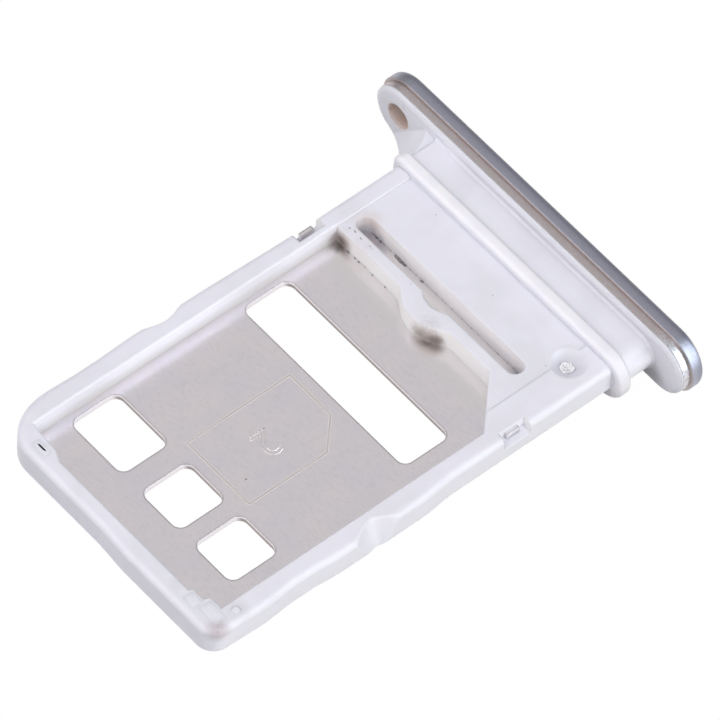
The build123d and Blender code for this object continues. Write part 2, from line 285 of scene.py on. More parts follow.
def spread(tree, value, low, high, to_low=0.0, to_high=1.0):
    """Value stretched from one range to another, without overshoot."""
    node = tree.nodes.new("ShaderNodeMapRange")
    tree.links.new(value, node.inputs["Value"])
    sockets = ("From Min", "From Max", "To Min", "To Max")
    for socket, number in zip(sockets, (low, high, to_low, to_high)):
        node.inputs[socket].default_value = number
    return node.outputs["Result"]


def product(tree, mask, *others):
    """Masks multiplied with each other."""
    for other in others:
        mask = math_node(tree, "MULTIPLY", mask, other)
    return mask


def layer(tree, under, over, mask, cover=1.0):
    """Colour mixed from a lower layer to an upper one by a mask. Returns its colour socket."""
    node = tree.nodes.new("ShaderNodeMix")
    node.data_type = "RGBA"
    factor, first, second, result = node.inputs[0], node.inputs[6], node.inputs[7], node.outputs[2]
    tree.links.new(mask if cover == 1.0 else product(tree, mask, cover), factor)
    for socket, value in ((first, under), (second, over)):
        if isinstance(value, bpy.types.NodeSocket):
            tree.links.new(value, socket)
        else:
            socket.default_value = (*value, 1.0)
    return result


def stain_or_shade(tree, under, centre, inner, outer, tint, cover):
    """Colour with a stain or painted shade: a point from the seat and the radii of its fade."""
    mark = place_group(
        tree, spot, Centre=seat(*centre), Inner=inner * MM, Outer=outer * MM, Ragged=SPOT_RAGGED
    )
    return layer(tree, under, tint, mark.outputs["Mask"], cover)


# %% [markdown]
# The last two helpers finish a material. `surface()` rounds the edges and stacks bumps on them, and
# `dress()` puts the material on a node of the frame.


# %% Surface helpers
def surface(tree, shader, edge, heights):
    """Rounded edges and bumps, as (height socket, depth in mm), into the shader's Normal."""
    rounding = place_group(tree, round_edges)
    rounding.name = "rounding"
    if isinstance(edge, bpy.types.NodeSocket):
        tree.links.new(edge, rounding.inputs["Radius"])
    else:
        rounding.inputs["Radius"].default_value = edge * MM
    normal = rounding.outputs["Normal"]
    for height, depth in heights:
        bump = tree.nodes.new("ShaderNodeBump")
        bump.inputs["Strength"].default_value = 1.0
        bump.inputs["Distance"].default_value = depth * MM
        tree.links.new(height, bump.inputs["Height"])
        tree.links.new(normal, bump.inputs["Normal"])
        normal = bump.outputs["Normal"]
    tree.links.new(normal, shader.inputs["Normal"])


def dress(node_name, material):
    """Give a frame node one material."""
    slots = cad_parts[node_name].data.materials
    slots.clear()
    slots.append(material)
    print(node_name, "wears", material.name)


# %% [markdown]
# ## White plastic
#
# The frame is a glass-filled nylon, moulded in a cool white and a little translucent. Its skin is
# satin and faintly cloudy, and where it is closed in it is painted a warm grey as shade.

# %% White plastic
WHITE, WHITE_SHADE = (0.748, 0.746, 0.822), (0.718, 0.716, 0.785)
# Warm grey painted shade for closed-in places, and how far it covers.
WARM_CREVICE_SHADE, WARM_CREVICE_SHADE_COVER = (0.47, 0.41, 0.40), 0.40
plastic, tree, shader = new_material(
    "moulded_white",
    Roughness=0.40,
    IOR=1.53,
    Subsurface_Weight=0.30,
    Subsurface_Scale=0.30 * MM,
    Subsurface_Radius=(1.0, 0.9, 0.85),
)
cloud = grain_height(tree, 1.6, 3.0)
skin = grain_height(tree, 0.05, 3.0)
colour = layer(tree, WHITE_SHADE, WHITE, spread(tree, cloud, 0.38, 0.56))
# Painted shade: warm grey where the surface is closed in.
corner_shade = crevice_mask(tree, 0.28, 0.70, 1.0)
colour = layer(tree, colour, WARM_CREVICE_SHADE, corner_shade, WARM_CREVICE_SHADE_COVER)
print("ground of", plastic.name)

# %% [markdown]
# Not all walls are alike. The long wall of the slot and the face of the finger both turn to the tip,
# and both are painted paler as painted light, the slot's wall a beige. Where the neck runs into the
# flange the plastic is painted greyer as shade, except on the ear. Faces turned to the near side are
# painted paler as painted light, and the far wall of the pocket is painted darker and warmer towards
# its foot, as shade.

# %% Walls of the plastic
# Painted light and painted shade on the walls, as colours and places.
SLOT_WALL_LIGHT, SLOT_WALL_LIGHT_X = (0.97, 0.93, 0.93), (13.45, 13.80)
FINGER_FACE_LIGHT, FINGER_FACE_X = (0.87, 0.86, 0.865), (12.00, 13.00)
WALL_FADE = 0.1
JUNCTION_SHADE, JUNCTION_X = (0.50, 0.49, 0.53), (16.30, 16.60)
EAR_Y, JUNCTION_COVER = (-0.9, -0.4), 0.85
NEAR_SIDE_LIGHT = (0.84, 0.835, 0.895)
FAR_FOOT_SHADE, FOOT_Y = (0.55, 0.525, 0.50), (-1.2, -0.8)
FOOT_Z, FOOT_COVER = (0.05, 0.50), 0.75
place = axes(tree, *PLACE)
turned = axes(tree, *NORMAL)
to_tip = spread(tree, turned["X"], *TIPWARDS, 1.0, 0.0)
to_near = spread(tree, turned["Y"], *NEARWARDS, 1.0, 0.0)
# Painted light: the slot's wall and the finger's face, turned to the tip, are painted paler.
for tint, (start, end) in ((SLOT_WALL_LIGHT, SLOT_WALL_LIGHT_X), (FINGER_FACE_LIGHT, FINGER_FACE_X)):
    after = spread(tree, place["X"], *from_seat("x", start, start + WALL_FADE))
    before = spread(tree, place["X"], *from_seat("x", end - WALL_FADE, end), 1.0, 0.0)
    colour = layer(tree, colour, tint, product(tree, to_tip, after, before))
# Painted shade: greyer where the neck runs into the flange, off the ear.
by_the_cap = spread(tree, place["X"], *from_seat("x", *JUNCTION_X))
off_the_ear = spread(tree, place["Y"], *from_seat("y", *EAR_Y), JUNCTION_COVER, 0.0)
junction_shade = crevice_mask(tree, 0.80, 0.12, 0.50)
colour = layer(tree, colour, JUNCTION_SHADE, product(tree, junction_shade, by_the_cap, off_the_ear))
# Painted light: faces turned to the near side are painted paler.
colour = layer(tree, colour, NEAR_SIDE_LIGHT, to_near)
# Painted shade: the far wall is painted darker and warmer towards its foot.
far_side = spread(tree, place["Y"], *from_seat("y", *FOOT_Y))
far_foot_shade = spread(tree, place["Z"], *from_seat("z", *FOOT_Z), FOOT_COVER, 0.0)
colour = layer(tree, colour, FAR_FOOT_SHADE, product(tree, far_foot_shade, to_near, far_side))
print("walls of", plastic.name)

# %% [markdown]
# Two soft brown patches of painted shade lie at the foot of the spring finger, and painted shade
# darkens the flange under the near end of the neck. The slot is darker blue-grey at each end and tan
# along its wall, the ejector hole is painted brown as shade, a mauve-brown smudge lies on the tip's
# near corner, and fainter painted shades lie round the tip and in the gate's dimple. A spot is a
# point from the seat, the radii between which it fades, its colour and how far it covers. The edges
# are rounded everywhere but at the foot of the walls, where they stand on the plate.

# %% Stains and painted shade on the plastic
# The browns, the hole brown, the greys, the bowl and the shade are painted shade colours.
BROWN_SHADE, UMBER_SHADE, TAN = (0.115, 0.074, 0.060), (0.33, 0.245, 0.205), (0.62, 0.53, 0.50)
HOLE_BROWN_SHADE, MAUVE = (0.72, 0.58, 0.52), (0.40, 0.33, 0.345)
SLATE, SHADE = (0.34, 0.34, 0.40), (0.36, 0.35, 0.38)
GREY_SHADE, BOWL_SHADE = (0.62, 0.62, 0.65), (0.58, 0.58, 0.67)
# Painted shade at the finger's foot, under the neck, in the hole, dimple and round the tip pads.
STAINS_AND_SHADES = (
    ((12.60, -0.90, 0.30), 0.20, 1.20, TAN, 0.18),
    ((12.56, -0.30, 0.26), 0.05, 0.58, UMBER_SHADE, 0.65),
    ((12.54, -0.26, 0.15), 0.02, 0.44, BROWN_SHADE, 0.80),
    ((12.32, -4.72, 0.20), 0.22, 0.76, UMBER_SHADE, 0.60),
    ((12.33, -4.48, 0.20), 0.05, 0.45, BROWN_SHADE, 0.60),
    ((12.36, -4.98, 0.16), 0.05, 0.45, BROWN_SHADE, 0.75),
    ((17.11, -9.72, -0.40), 0.20, 0.90, SHADE, 0.80),
    ((13.50, -0.45, 0.45), 0.10, 0.75, TAN, 0.60),
    ((13.46, -0.42, 0.02), 0.06, 0.46, SLATE, 0.60),
    ((13.66, -0.85, 0.00), 0.04, 0.34, SLATE, 0.50),
    ((13.66, -7.50, 0.00), 0.04, 0.34, SLATE, 0.40),
    ((17.27, 2.32, 0.30), 0.44, 0.60, HOLE_BROWN_SHADE, 0.90),
    ((-0.30, -9.56, 0.80), 0.12, 0.60, MAUVE, 0.60),
    ((-0.12, -7.45, 0.82), 0.08, 0.40, GREY_SHADE, 0.40),
    ((0.66, -9.33, 0.82), 0.18, 0.50, GREY_SHADE, 0.50),
    ((0.60, -9.30, 0.87), 0.10, 0.22, WHITE, 0.85),
    ((14.78, -8.56, 0.66), 0.30, 0.72, BOWL_SHADE, 0.50),
    ((15.05, -8.35, 0.74), 0.12, 0.48, GREY_SHADE, 0.45),
)
FOOT_EDGE, WALL_EDGE, FOOT_EDGE_Z = 0.008, 0.09, (0.02, 0.14)
# Stains and painted shades go on in this order.
for mark in STAINS_AND_SHADES:
    colour = stain_or_shade(tree, colour, *mark)
tree.links.new(colour, shader.inputs["Base Color"])
edge = spread(tree, place["Z"], *from_seat("z", *FOOT_EDGE_Z), FOOT_EDGE * MM, WALL_EDGE * MM)
surface(tree, shader, edge, ((skin, 0.004), (cloud, 0.03)))
dress("tray_frame", plastic)
print("stains", len(STAINS_AND_SHADES))

# %% [markdown]
# ## Rolled steel
#
# The plate is thin stainless sheet, rolled to a soft satin and stamped. Rolling leaves faint
# streaks along the tray, and handling a mottle that is a little warmer or cooler from place to
# place. Beside the finger and in the slot the steel is more neutral.

# %% Rolled steel
STEEL_WARM, STEEL_COOL = (0.845, 0.790, 0.815), (0.805, 0.765, 0.810)
STEEL_GRAIN, STEEL_GRAIN_COVER = (0.70, 0.66, 0.685), 0.42
STEEL_CORNER_SHADE, STEEL_CORNER_SHADE_COVER = (0.30, 0.27, 0.26), 0.2
STEEL_SLOT, STEEL_SLOT_X = (0.812, 0.787, 0.787), (11.4, 12.2)
steel, tree, shader = new_material("rolled_steel", Metallic=1.0)
mottle = grain_height(tree, 1.1, 5.0)
streak = grain_height(tree, 0.05, 3.0, (14.0, 1.0, 1.0))
fine = grain_height(tree, 0.11, 3.0, (1.0, 2.2, 1.0))
place = axes(tree, *PLACE)
colour = layer(tree, STEEL_COOL, STEEL_WARM, spread(tree, mottle, 0.35, 0.65))
colour = layer(tree, colour, STEEL_GRAIN, spread(tree, fine, 0.48, 0.78, 0.0, STEEL_GRAIN_COVER))
# Painted shade: the steel is darkened where it is closed in.
corner_shade = crevice_mask(tree, 0.12, 0.45, 0.95)
colour = layer(tree, colour, STEEL_CORNER_SHADE, corner_shade, STEEL_CORNER_SHADE_COVER)
by_the_slot = spread(tree, place["X"], *from_seat("x", *STEEL_SLOT_X))
colour = layer(tree, colour, STEEL_SLOT, by_the_slot)
print("ground of", steel.name)

# %% [markdown]
# A thin dark line is painted on the upper face along the edge of each window, a painted reflection
# of an edge that the punch rolled over. The punch tears the lower part of the cut, which stays dull.
# The marks of the plastic go on over the steel: the painted shade at the foot of the finger, and the
# darker blue-grey in the slot.

# %% Cuts of the steel, its painted edge line and painted shade
STEEL_EDGE_DARK, STEEL_EDGE_DARK_COVER, STEEL_EDGE_DARK_RADIUS = (0.33, 0.30, 0.31), 0.85, 0.11
SHEARED, SHEARED_Z = (0.34, 0.30, 0.29), (-0.09, -0.05)
# The dark brown is painted shade at the finger's foot.
STEEL_FOOT_SHADE, STEEL_SPOT_INNER = (0.13, 0.10, 0.09), 0.04
STEEL_SHADES_AND_SPOTS = (
    ((12.50, -0.25), 0.36, STEEL_FOOT_SHADE, 0.55),
    ((12.20, -4.78), 0.28, STEEL_FOOT_SHADE, 0.50),
    ((13.36, -0.62), 0.60, SLATE, 0.60),
    ((13.50, -1.10), 0.42, SLATE, 0.45),
    ((13.50, -7.45), 0.45, SLATE, 0.40),
)
turned = axes(tree, *NORMAL)
upper_face = spread(tree, turned["Z"], *UPWARDS)
cut_face = spread(tree, turned["X"], *TIPWARDS, 1.0, 0.0)
# Painted reflection: a dark line along the window edges of the upper face.
bend = place_group(tree, round_edges, Radius=STEEL_EDGE_DARK_RADIUS * MM).outputs["Bend"]
painted_edge_dark = product(tree, spread(tree, bend, 0.01, 0.10, 0.0, STEEL_EDGE_DARK_COVER), upper_face)
colour = layer(tree, colour, STEEL_EDGE_DARK, painted_edge_dark)
torn = spread(tree, place["Z"], *from_seat("z", *SHEARED_Z), 1.0, 0.0)
colour = layer(tree, colour, SHEARED, product(tree, cut_face, torn))
# Painted shade at the finger's foot, and darker blue-grey in the slot.
for centre, outer, tint, cover in STEEL_SHADES_AND_SPOTS:
    colour = stain_or_shade(tree, colour, centre, STEEL_SPOT_INNER, outer, tint, cover)
tree.links.new(colour, shader.inputs["Base Color"])
tree.links.new(spread(tree, streak, 0.3, 0.7, 0.21, 0.27), shader.inputs["Roughness"])
surface(tree, shader, 0.05, ((streak, 0.0004), (mottle, 0.003)))
dress("card_plate", steel)

# %% [markdown]
# ## Silicone
#
# The seal is a milky silicone, a shade warmer than the plastic, soft in its gloss and translucent.
# Its foot is painted a darker pink-brown where it meets the deck, as painted shade.

# %% Silicone
MILK, MILK_SHADE = (0.83, 0.82, 0.865), (0.80, 0.79, 0.85)
MILK_FOOT_SHADE = (0.60, 0.52, 0.52)
silicone, tree, shader = new_material(
    "pale_silicone",
    Roughness=0.55,
    IOR=1.42,
    Subsurface_Weight=0.25,
    Subsurface_Scale=0.3 * MM,
    Subsurface_Radius=(1.0, 0.6, 0.5),
)
skin = grain_height(tree, 0.06, 2.0)
cloud = grain_height(tree, 0.9, 2.0)
colour = layer(tree, MILK, MILK_SHADE, spread(tree, cloud, 0.4, 0.6))
# Painted shade: pink-brown at the foot, where it is closed in.
colour = layer(tree, colour, MILK_FOOT_SHADE, crevice_mask(tree, 0.25, 0.30, 0.85))
tree.links.new(colour, shader.inputs["Base Color"])
surface(tree, shader, 0.04, ((skin, 0.002),))
dress("seal_ring", silicone)

# %% [markdown]
# ## Anodised metal
#
# The cap is aluminium, blasted with fine beads and anodised to a neutral grey. The blasting leaves
# a fine even sparkle. The rim is painted from light to dark outwards, a painted reflection that
# falls off as the rim turns away, between two thin edges, a brown one beside the band and a pale one
# where it ends, and the outer face is a plain silver.

# %% Rim and face of the cap
RIM_PAINTED_LIT, RIM_PAINTED_SHADE, RIM_FALL = (0.40, 0.40, 0.475), (0.25, 0.25, 0.315), (0.12, 0.52)
RIM_EDGE, RIM_EDGE_X = (0.36, 0.31, 0.285), (0.02, 0.06)
RIM_CUT, RIM_CUT_X = (0.60, 0.55, 0.53), (-0.10, -0.04)
FACE_LIGHT, FACE_DARK = (0.56, 0.555, 0.61), (0.48, 0.475, 0.53)
SPECKLE = 0.9
BAND_END = 17.485
anodised, tree, shader = new_material("anodised_metal")
beads = grain_height(tree, 0.035, 2.0)
place = axes(tree, *PLACE)
turned = axes(tree, *NORMAL)
# Painted reflection: the rim goes from light to dark outwards.
painted_falloff = spread(tree, place["X"], *from_seat("x", *(BAND_END + d for d in RIM_FALL)))
speckle = math_node(tree, "MULTIPLY_ADD", beads, SPECKLE, -SPECKLE / 2)
colour = layer(tree, RIM_PAINTED_LIT, RIM_PAINTED_SHADE, math_node(tree, "ADD", painted_falloff, speckle, clamp=True))
past_edge = spread(tree, place["X"], *from_seat("x", *(BAND_END + d for d in RIM_EDGE_X)))
colour = layer(tree, RIM_EDGE, colour, past_edge)
cap_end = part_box("face_cap")[1][0]
by_the_end = spread(tree, place["X"], *(cap_end + d * MM for d in RIM_CUT_X))
colour = layer(tree, colour, RIM_CUT, by_the_end)
silver = layer(tree, FACE_DARK, FACE_LIGHT, spread(tree, beads, 0.35, 0.65))
colour = layer(tree, colour, silver, spread(tree, turned["X"], *CAPWARDS))
print("rim and face of", anodised.name)

# %% [markdown]
# The band that faces the flange is a little browner than the rim, because it was masked. At its
# near end it is worn to the bare metal, and painted whiter there as a painted glint as well. The
# cap's crevices are painted darker as shade. The ejector hole is not metal to the eye: it is painted
# brown as shade, and darker with depth.

# %% Band and hole of the cap
BAND_BROWN, BAND_LIGHT = (0.55, 0.485, 0.495), (0.80, 0.73, 0.73)
BAND_FADE = 0.02
BARE_METAL_AND_GLINT, BARE_Y = (0.72, 0.74, 0.80), (-10.30, -9.50)
CAP_CREVICE_SHADE, CAP_CREVICE_SHADE_COVER = (0.16, 0.14, 0.14), 0.6
HOLE_SHADE, HOLE_DEEP_SHADE, HOLE_X = (0.66, 0.53, 0.47), (0.40, 0.30, 0.255), (17.25, 17.75)
HOLE, HOLE_INNER, HOLE_OUTER = (17.62, 2.32, 0.30), 0.58, 0.72
CROWN_LENGTH, CROWN_LOW, CROWN_HIGH = 0.45, 0.02, 0.24
chips = grain_height(tree, 0.09, 2.0)
sparkle = layer(tree, BAND_BROWN, BAND_LIGHT, spread(tree, beads, 0.55, 0.75))
# Bare worn metal at the near end, painted whiter there also as a painted glint.
bare_and_glint = spread(tree, place["Y"], *from_seat("y", *BARE_Y), 1.0, 0.0)
bare_and_glint = product(tree, bare_and_glint, spread(tree, chips, 0.40, 0.55))
sparkle = layer(tree, sparkle, BARE_METAL_AND_GLINT, bare_and_glint)
past_band = spread(tree, place["X"], *from_seat("x", BAND_END, BAND_END + BAND_FADE))
colour = layer(tree, sparkle, colour, past_band)
# Painted shade: darker in the cap's crevices.
colour = layer(tree, colour, CAP_CREVICE_SHADE, crevice_mask(tree, 0.10, 0.40, 0.95), CAP_CREVICE_SHADE_COVER)
mark = place_group(
    tree, spot, Centre=seat(*HOLE), Inner=HOLE_INNER * MM, Outer=HOLE_OUTER * MM, Ragged=0.2
)
# Painted shade: the bore is brown, and darker with depth.
bore_shade = layer(tree, HOLE_SHADE, HOLE_DEEP_SHADE, spread(tree, place["X"], *from_seat("x", *HOLE_X)))
colour = layer(tree, colour, bore_shade, mark.outputs["Mask"])
metallic = math_node(tree, "SUBTRACT", 1.0, mark.outputs["Mask"])
tree.links.new(metallic, shader.inputs["Metallic"])
tree.links.new(colour, shader.inputs["Base Color"])
tree.links.new(spread(tree, beads, 0.3, 0.7, 0.30, 0.40), shader.inputs["Roughness"])
crown_x = from_seat("x", BAND_END, BAND_END + CROWN_LENGTH)
crown = spread(tree, place["X"], *crown_x, CROWN_LOW * MM, CROWN_HIGH * MM)
surface(tree, shader, crown, ((beads, 0.006),))
dress("face_cap", anodised)

# %% [markdown]
# ## Helpers for new pieces
#
# The marks that follow are modelled as by hand. A new piece gets its place in its mesh, as the
# frame's own nodes have, one face of it is picked by its height, and modifiers are applied at once.


# %% Modelling helpers
def settle():
    """Put the place, turn and scale of what is selected into its mesh."""
    bpy.ops.object.transform_apply(location=True, rotation=True, scale=True)


def edit_top_face(piece):
    """Enter edit mode with only the highest face of the piece selected."""
    bpy.ops.object.mode_set(mode="EDIT")
    bpy.ops.mesh.select_mode(type="FACE")
    bpy.ops.mesh.select_all(action="DESELECT")
    bpy.ops.object.mode_set(mode="OBJECT")
    max(piece.data.polygons, key=lambda face: face.center.z).select = True
    bpy.ops.object.mode_set(mode="EDIT")


def modify(piece, name, kind, **settings):
    """Add a modifier with these settings and apply it."""
    modifier = piece.modifiers.new(name, kind)
    for setting, value in settings.items():
        setattr(modifier, setting, value)
    bpy.ops.object.modifier_apply(modifier=name)


# %% [markdown]
# ## The coined card outline
#
# A press coins the outline of a card into the plate, to show which way the card goes in. The line
# is a dull ridge between two flanks that the punch has burnished bright, so it needs two metals.

# %% Coined metals
FLANK, FLANK_WORN = (0.98, 0.93, 0.90), (0.90, 0.85, 0.83)
RIDGE, RIDGE_WORN = (0.66, 0.62, 0.61), (0.78, 0.73, 0.73)


def coined_metal(name, colour_a, colour_b):
    """Steel that the press has burnished, lighter and darker along its line."""
    material, tree, shader = new_material(name, Metallic=1.0)
    wander = grain_height(tree, 0.5, 3.0)
    colour = layer(tree, colour_a, colour_b, spread(tree, wander, 0.4, 0.6))
    tree.links.new(colour, shader.inputs["Base Color"])
    tree.links.new(spread(tree, wander, 0.3, 0.7, 0.25, 0.40), shader.inputs["Roughness"])
    return material


ridge_metal = coined_metal("coined_ridge", RIDGE, RIDGE_WORN)
flank_metal = coined_metal("coined_flank", FLANK, FLANK_WORN)
print("coined metals", ridge_metal.name, flank_metal.name)

# %% [markdown]
# The whole line is only a tenth of a millimetre wide, so it is modelled as a thin strip: a plane is
# cut to the card's shape by bevelling one corner, then inset three times. Each inset leaves a ring,
# and the middle ring is lifted. The face that is left over inside is deleted.

# %% Coined outline
OUTLINE_X, OUTLINE_Y, OUTLINE_LIFT = 3.91, -3.10, 0.001
OUTLINE_LENGTH, OUTLINE_WIDTH, OUTLINE_CUT = 4.157, 2.974, 1.056
RIDGE_WIDTH, FLANK_WIDTH, RIDGE_LIFT = 0.045, 0.032, 0.003
STRIP_THICKNESS = 0.01
FLANK_SLOT, RIDGE_SLOT = 0, 1
INSETS = (
    (FLANK_WIDTH, RIDGE_LIFT, RIDGE_SLOT),
    (RIDGE_WIDTH, 0.0, FLANK_SLOT),
    (FLANK_WIDTH, -RIDGE_LIFT, FLANK_SLOT),
)
line_width = RIDGE_WIDTH + 2 * FLANK_WIDTH
middle = seat(OUTLINE_X + OUTLINE_LENGTH / 2, OUTLINE_Y - OUTLINE_WIDTH / 2, OUTLINE_LIFT)
bpy.ops.object.select_all(action="DESELECT")
bpy.ops.mesh.primitive_plane_add(size=1.0, location=middle)
outline = bpy.context.object
outline.name = "coined_outline"
outline.scale = ((OUTLINE_LENGTH + line_width) * MM, (OUTLINE_WIDTH + line_width) * MM, 1.0)
settle()
outline.data.materials.append(flank_metal)
outline.data.materials.append(ridge_metal)
cut_corner = max(outline.data.vertices, key=lambda v: v.co.x - v.co.y).index
bpy.ops.object.mode_set(mode="EDIT")
bpy.ops.mesh.select_mode(type="VERT")
bpy.ops.mesh.select_all(action="DESELECT")
bpy.ops.object.mode_set(mode="OBJECT")
outline.data.vertices[cut_corner].select = True
bpy.ops.object.mode_set(mode="EDIT")
bpy.ops.mesh.bevel(offset=OUTLINE_CUT * MM, segments=1, affect="VERTICES")
bpy.ops.mesh.select_all(action="SELECT")
for width, lift, finish in INSETS:
    bpy.ops.mesh.inset(thickness=width * MM, depth=lift * MM)
    outline.active_material_index = finish
    bpy.ops.object.material_slot_assign()
bpy.ops.mesh.delete(type="FACE")
bpy.ops.object.mode_set(mode="OBJECT")
modify(outline, "thickness", "SOLIDIFY", thickness=STRIP_THICKNESS * MM, offset=-1.0)
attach(outline, "root")
print("coined outline faces", len(outline.data.polygons))

# %% [markdown]
# ## The coined numeral
#
# Inside the outline the plate carries a plain numeral for the card's place. The press only raises
# the edges of its strokes, so a filled letter would be wrong: the text is left hollow and its
# contour gets a fine round wire, which is made a mesh and pressed flat into the plate.

# %% Coined numeral
NUMERAL_HEIGHT, NUMERAL_WIRE, NUMERAL_FLATTEN = 1.45, 0.022, 0.45
NUMERAL_PLACE = 0.46
bpy.ops.object.select_all(action="DESELECT")
bpy.ops.object.text_add()
numeral = bpy.context.object
numeral.name = "coined_numeral"
numeral.data.body = "2"
numeral.data.size = NUMERAL_HEIGHT * MM
numeral.data.align_x = "CENTER"
numeral.data.align_y = "CENTER"
numeral.data.fill_mode = "NONE"
numeral.data.bevel_depth = NUMERAL_WIRE * MM
numeral.data.bevel_resolution = 2
numeral.data.resolution_u = 6
bpy.ops.object.convert(target="MESH")
numeral = bpy.context.object
numeral.location = seat(
    OUTLINE_X + NUMERAL_PLACE * OUTLINE_LENGTH, OUTLINE_Y - OUTLINE_WIDTH / 2
)
numeral.rotation_euler = (0, 0, math.pi)
numeral.scale = (1.0, 1.0, NUMERAL_FLATTEN)
settle()
numeral.data.materials.clear()
numeral.data.materials.append(flank_metal)
bpy.ops.object.shade_smooth()
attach(numeral, "root")
print("coined numeral faces", len(numeral.data.polygons))

# %% [markdown]
# ## The broken gate
#
# Plastic enters the mould through a gate. When the frame is snapped off, a rough stub of it stays
# in the round dimple of the deck. It starts as a short cylinder whose top is inset and pushed in to
# a crater. Two rounds of subdivision give it enough points for a noise to break its surface.

# %% Gate stub
GATE = (14.63, -8.594)
GATE_FLOOR, GATE_RADIUS, GATE_HEIGHT = 0.59, 0.225, 0.13
GATE_SUNK = 0.3
CRATER = ((0.06, 0.0), (0.04, -0.06), (0.06, 0.0))
BREAK_SIZE, BREAK_DEPTH = 0.09, 0.12
bpy.ops.object.select_all(action="DESELECT")
bpy.ops.mesh.primitive_cylinder_add(
    vertices=32,
    radius=GATE_RADIUS * MM,
    depth=GATE_HEIGHT * MM,
    location=seat(*GATE, GATE_FLOOR + GATE_SUNK * GATE_HEIGHT),
)
gate = bpy.context.object
gate.name = "gate_stub"
settle()
edit_top_face(gate)
for width, lift in CRATER:
    bpy.ops.mesh.inset(thickness=width * MM, depth=lift * MM)
bpy.ops.object.mode_set(mode="OBJECT")
modify(gate, "finer", "SUBSURF", levels=2)
rough_noise = bpy.data.textures.new("gate_noise", "CLOUDS")
rough_noise.noise_scale = BREAK_SIZE * MM
rough_noise.noise_depth = 2
modify(
    gate, "breaking", "DISPLACE",
    texture=rough_noise, texture_coords="LOCAL", strength=BREAK_DEPTH * MM,
)
print("gate stub faces", len(gate.data.polygons))

# %% [markdown]
# Where the plastic tore it is glossy, and its chips are lighter and darker. Its hollows are painted
# a warm grey as shade.

# %% Broken plastic
GLOSS_WHITE, GLOSS_SHADE = (0.88, 0.88, 0.91), (0.52, 0.51, 0.54)
broken, tree, shader = new_material("broken_plastic", Roughness=0.12, IOR=1.53)
chips = grain_height(tree, 0.05, 3.0)
colour = layer(tree, GLOSS_WHITE, GLOSS_SHADE, spread(tree, chips, 0.5, 0.7))
# Painted shade: warm grey in the crater's hollows.
colour = layer(tree, colour, WARM_CREVICE_SHADE, crevice_mask(tree, 0.06, 0.12, 0.7))
tree.links.new(colour, shader.inputs["Base Color"])
surface(tree, shader, 0.01, ((chips, 0.02),))
gate.data.materials.append(broken)
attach(gate, "root")
print("gate stub wears", broken.name)

# %% [markdown]
# ## Soft tops of the tip pads
#
# Pads at the tip locate the card's corners. Their tops stand a little proud of the rim and run out
# into it as softly as soap. Each is a low cube that ends just under the rim's face, with its top
# inset four times and lifted less each time, which makes a pillow without a hard edge. They wear
# the frame's plastic with nearly no rounding of the normal, because the pillow is round already.

# %% Pad tops
TIP_RIM, PAD_DEPTH = 0.816, 0.10
PADS = (
    ("pad_top_low", (-0.155, -8.16), (0.42, 0.52), 0.030),
    ("pad_top_high", (0.010, -8.92), (0.50, 0.82), 0.045),
    ("pad_top_far", (-0.11, -0.90), (0.34, 0.66), 0.030),
)
PILLOW_STEP, PILLOW_LIFTS, PILLOW_EDGE = 0.05, (0.5, 0.3, 0.15, 0.05), 0.005
SMOOTH_ANGLE = math.radians(45)
pillow = plastic.copy()
pillow.name = "moulded_white_pillow"
radius = pillow.node_tree.nodes["rounding"].inputs["Radius"]
pillow.node_tree.links.remove(radius.links[0])
radius.default_value = PILLOW_EDGE * MM
for name, (x, y), (length, width), lift in PADS:
    bpy.ops.object.select_all(action="DESELECT")
    bpy.ops.mesh.primitive_cube_add(size=1.0, location=seat(x, y, TIP_RIM - PAD_DEPTH / 2))
    pad = bpy.context.object
    pad.name = name
    pad.scale = Vector((length, width, PAD_DEPTH)) * MM
    settle()
    edit_top_face(pad)
    for share in PILLOW_LIFTS:
        bpy.ops.mesh.inset(thickness=PILLOW_STEP * MM, depth=share * lift * MM)
    bpy.ops.object.mode_set(mode="OBJECT")
    bpy.ops.object.shade_smooth_by_angle(angle=SMOOTH_ANGLE)
    pad.data.materials.append(pillow)
    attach(pad, "root")
    print(name, "faces", len(pad.data.polygons))

# %% [markdown]
# ## A witness ring on the ear
#
# The tool that pushed the frame out of its mould left a tiny ring on the ear. A torus is stood on
# edge against the ear's face and pressed nearly flat.

# %% Witness ring
RING, RING_RADIUS, RING_WIRE, RING_PRESS = (17.109, 2.069, 1.009), 0.055, 0.010, 0.7
RING_GREY, RING_LIGHT = (0.44, 0.43, 0.47), (0.58, 0.57, 0.61)
bpy.ops.object.select_all(action="DESELECT")
bpy.ops.mesh.primitive_torus_add(
    major_radius=RING_RADIUS * MM,
    minor_radius=RING_WIRE * MM,
    major_segments=28,
    minor_segments=8,
    location=seat(*RING),
    rotation=(0, math.radians(90), 0),
)
ring = bpy.context.object
ring.name = "witness_ring"
ring.scale = (1.0, 1.0, RING_PRESS)
settle()
bpy.ops.object.shade_smooth()
witness, tree, shader = new_material("witness_grey", Roughness=0.5)
patchy = grain_height(tree, 0.04, 2.0)
colour = layer(tree, RING_GREY, RING_LIGHT, spread(tree, patchy, 0.4, 0.6))
tree.links.new(colour, shader.inputs["Base Color"])
ring.data.materials.append(witness)
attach(ring, "root")
print("witness ring faces", len(ring.data.polygons))

# %% [markdown]
# ## Dirt
#
# Grit has gathered on the deck and the finger, along the foot of the finger and at the foot of the
# slot's wall, and three specks lie elsewhere. A grain is a place, a radius and how far it is drawn
# out along y. The row at the slot's foot follows two sines, so it looks irregular but is the same
# every time.

